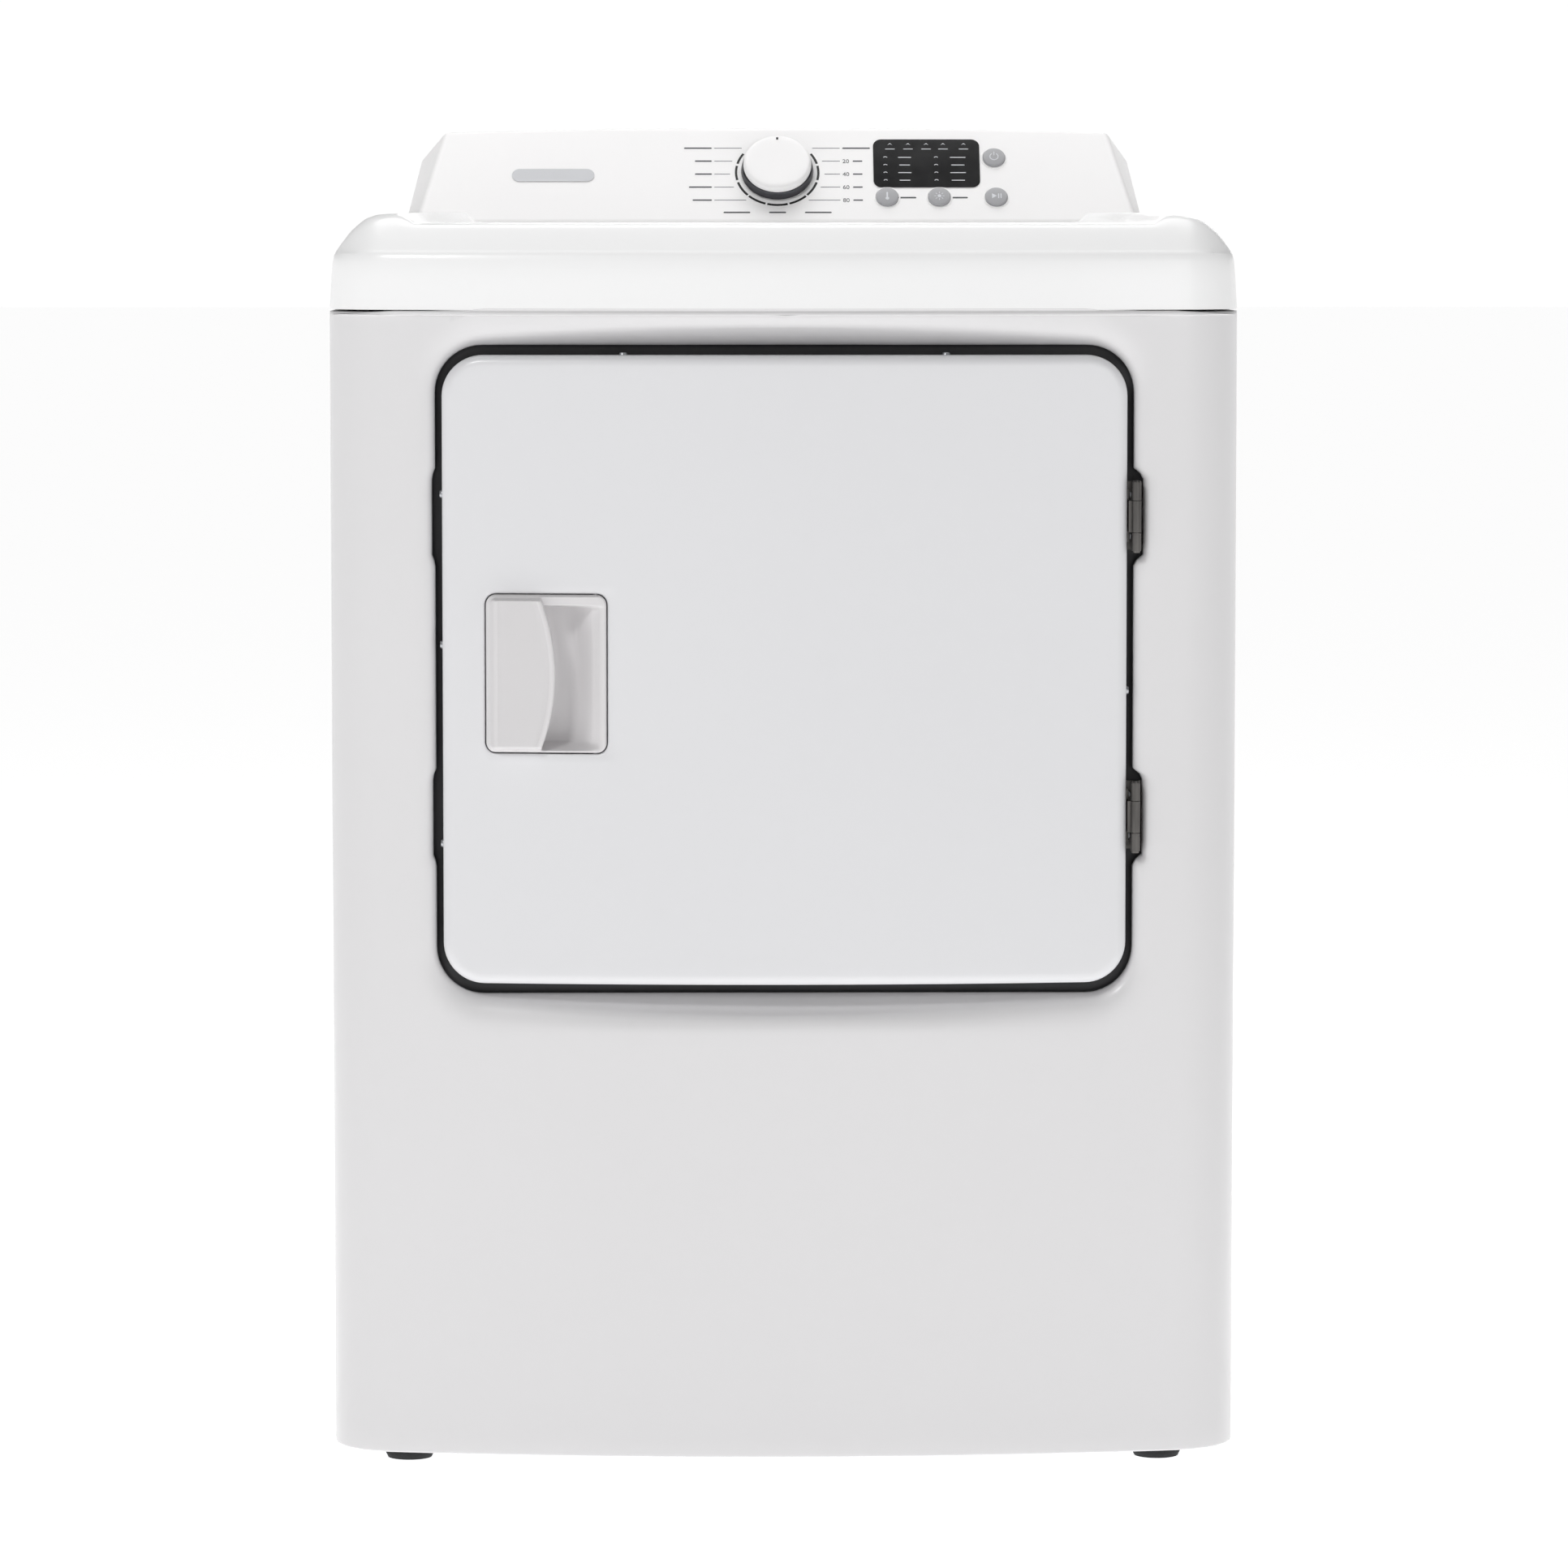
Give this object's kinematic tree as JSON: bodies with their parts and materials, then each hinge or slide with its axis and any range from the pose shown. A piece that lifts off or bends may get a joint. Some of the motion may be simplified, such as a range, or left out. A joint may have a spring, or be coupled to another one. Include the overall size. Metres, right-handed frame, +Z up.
{
  "type": "clothes dryer",
  "caption": "Front-loading tumble dryer with a bowed white cabinet, side-hinged door with pull pocket, sloped rear console, drum drive and exhaust path.",
  "frame": {"origin": "on the floor, at the middle of the footprint's box", "axes": "+X to the viewer's right facing the door, +Y to the rear, +Z up"},
  "size_m": [0.692, 0.7389, 1.0324],
  "materials": {
    "white_paint": "gloss enamel",
    "white_top": "gloss enamel",
    "white_plastic": "satin",
    "grey_plastic": "fine matt",
    "button_grey": "satin",
    "display_black": "polished",
    "board": "satin",
    "dark_plastic": "matt",
    "badge": "satin",
    "knob_metal": "satin anodised",
    "galvanised": "galvanised",
    "steel": "plain",
    "hinge_nickel": "dark nickel",
    "drum_metal": "zinc coated",
    "rubber_grey": "matt",
    "rubber_black": "matt",
    "felt": "felted wool",
    "lamp": "frosted",
    "motor": "semi gloss",
    "coil": "oxidised wire"
  },
  "bodies": {
    "cabinet": {"base_pan": "galvanised", "front_panel": "white_paint", "side_panel_left": "white_paint", "side_panel_right": "white_paint", "rear_panel": "galvanised", "worktop": "white_top", "console_body": "white_plastic", "console_back": "galvanised", "display_window": "display_black", "control_board": "board", "selector_switch": "dark_plastic", "badge_plate": "badge", "hinge_frame_leaves": "hinge_nickel", "frame_fasteners": "steel", "front_bulkhead": "galvanised", "drum_felts": "felt", "drum_lamp": "lamp", "sensor_bars": "steel", "door_catch": "white_plastic", "door_switch": "dark_plastic", "lint_chute": "white_plastic", "drum_belt": "rubber_black", "rear_bulkhead": "galvanised", "heater_box": "galvanised", "heater_coil": "coil", "roller_axles": "steel", "motor_stator": "motor", "motor_bracket": "steel", "blower_housing": "dark_plastic", "exhaust_duct": "galvanised", "terminal_box": "galvanised", "cord_grommet": "rubber_black"},
    "knob": {"knob_cap": "white_plastic", "knob_skirt": "knob_metal"},
    "power_key": {"button_power": "button_grey"},
    "start_key": {"button_start": "button_grey"},
    "temp_key": {"button_temp": "button_grey"},
    "dryness_key": {"button_dryness": "button_grey"},
    "door": {"door_outer": "white_paint", "door_inner": "white_plastic", "door_seal": "rubber_grey", "handle_cup": "grey_plastic", "handle_grip": "grey_plastic", "door_strike": "steel", "hinge_door_leaves": "hinge_nickel", "door_screws": "steel"},
    "plunger": {"switch_plunger": "white_plastic"},
    "filter": {"lint_filter": "grey_plastic"},
    "drum": {"drum_shell": "drum_metal", "drum_baffles": "white_plastic"},
    "roller_l": {"roller_left": "rubber_black"},
    "roller_r": {"roller_right": "rubber_black"},
    "rotor": {"motor_rotor": "steel", "blower_wheel": "dark_plastic"},
    "idler_lever": {"idler_arm": "steel"},
    "idler_wheel": {"idler_pulley": "white_plastic"},
    "leg_fl": {"foot_front_left": "rubber_black"},
    "leg_fr": {"foot_front_right": "rubber_black"},
    "leg_rl": {"foot_rear_left": "rubber_black"},
    "leg_rr": {"foot_rear_right": "rubber_black"}
  },
  "joints": [
    {"name": "door_hinge", "type": "hinge", "parent": "cabinet", "child": "door", "pos_m": [0.266, -0.3475, 0.618], "axis": [0, 0, 1], "range_deg": [0, 150]},
    {"name": "knob_turn", "type": "hinge", "parent": "cabinet", "child": "knob", "pos_m": [0.0005, 0.16571, 0.99545], "axis": [0, -0.788, 0.6157], "continuous": true},
    {"name": "power_press", "type": "slide", "parent": "cabinet", "child": "power_key", "axis": [0, 0.788, -0.6157], "range_m": [0, 0.001], "stiffness_N_per_m": 900, "springref_m": -0.001},
    {"name": "start_press", "type": "slide", "parent": "cabinet", "child": "start_key", "axis": [0, 0.788, -0.6157], "range_m": [0, 0.001], "stiffness_N_per_m": 900, "springref_m": -0.001},
    {"name": "temp_press", "type": "slide", "parent": "cabinet", "child": "temp_key", "axis": [0, 0.788, -0.6157], "range_m": [0, 0.001], "stiffness_N_per_m": 900, "springref_m": -0.001},
    {"name": "dryness_press", "type": "slide", "parent": "cabinet", "child": "dryness_key", "axis": [0, 0.788, -0.6157], "range_m": [0, 0.001], "stiffness_N_per_m": 900, "springref_m": -0.001},
    {"name": "switch_travel", "type": "slide", "parent": "cabinet", "child": "plunger", "axis": [0, -1, 0], "range_m": [0, 0.003]},
    {"name": "filter_lift", "type": "slide", "parent": "cabinet", "child": "filter", "axis": [0, 0, 1], "range_m": [0, 0.2]},
    {"name": "drum_spin", "type": "hinge", "parent": "cabinet", "child": "drum", "pos_m": [0, -0.0155, 0.6], "axis": [0, 1, 0], "continuous": true},
    {"name": "roller_left_spin", "type": "hinge", "parent": "cabinet", "child": "roller_l", "pos_m": [-0.1941, 0.2055, 0.3228], "axis": [0, 1, 0], "continuous": true},
    {"name": "roller_right_spin", "type": "hinge", "parent": "cabinet", "child": "roller_r", "pos_m": [0.1941, 0.2055, 0.3228], "axis": [0, 1, 0], "continuous": true},
    {"name": "motor_spin", "type": "hinge", "parent": "cabinet", "child": "rotor", "pos_m": [-0.06, -0.1155, 0.14], "axis": [0, 1, 0], "continuous": true},
    {"name": "idler_swing", "type": "hinge", "parent": "cabinet", "child": "idler_lever", "pos_m": [-0.19, -0.012, 0.06], "axis": [0, -1, 0], "range_deg": [0, 6], "stiffness_Nm_per_rad": 3, "springref_deg": -20.05},
    {"name": "idler_spin", "type": "hinge", "parent": "idler_lever", "child": "idler_wheel", "pos_m": [-0.1478, -0.0245, 0.2145], "axis": [0, 1, 0], "continuous": true},
    {"name": "leg_front_left", "type": "slide", "parent": "cabinet", "child": "leg_fl", "axis": [0, 0, -1], "range_m": [0, 0.015]},
    {"name": "leg_front_right", "type": "slide", "parent": "cabinet", "child": "leg_fr", "axis": [0, 0, -1], "range_m": [0, 0.015]},
    {"name": "leg_rear_left", "type": "slide", "parent": "cabinet", "child": "leg_rl", "axis": [0, 0, -1], "range_m": [0, 0.015]},
    {"name": "leg_rear_right", "type": "slide", "parent": "cabinet", "child": "leg_rr", "axis": [0, 0, -1], "range_m": [0, 0.015]}
  ],
  "couplings": [
    {"joint": "switch_travel", "follows": "door_hinge", "m_per_rad": 0.001145},
    {"joint": "roller_left_spin", "follows": "drum_spin", "ratio": -7.9053},
    {"joint": "roller_right_spin", "follows": "drum_spin", "ratio": -7.9053},
    {"joint": "motor_spin", "follows": "drum_spin", "ratio": 21.87},
    {"joint": "idler_spin", "follows": "drum_spin", "ratio": -13.764}
  ]
}
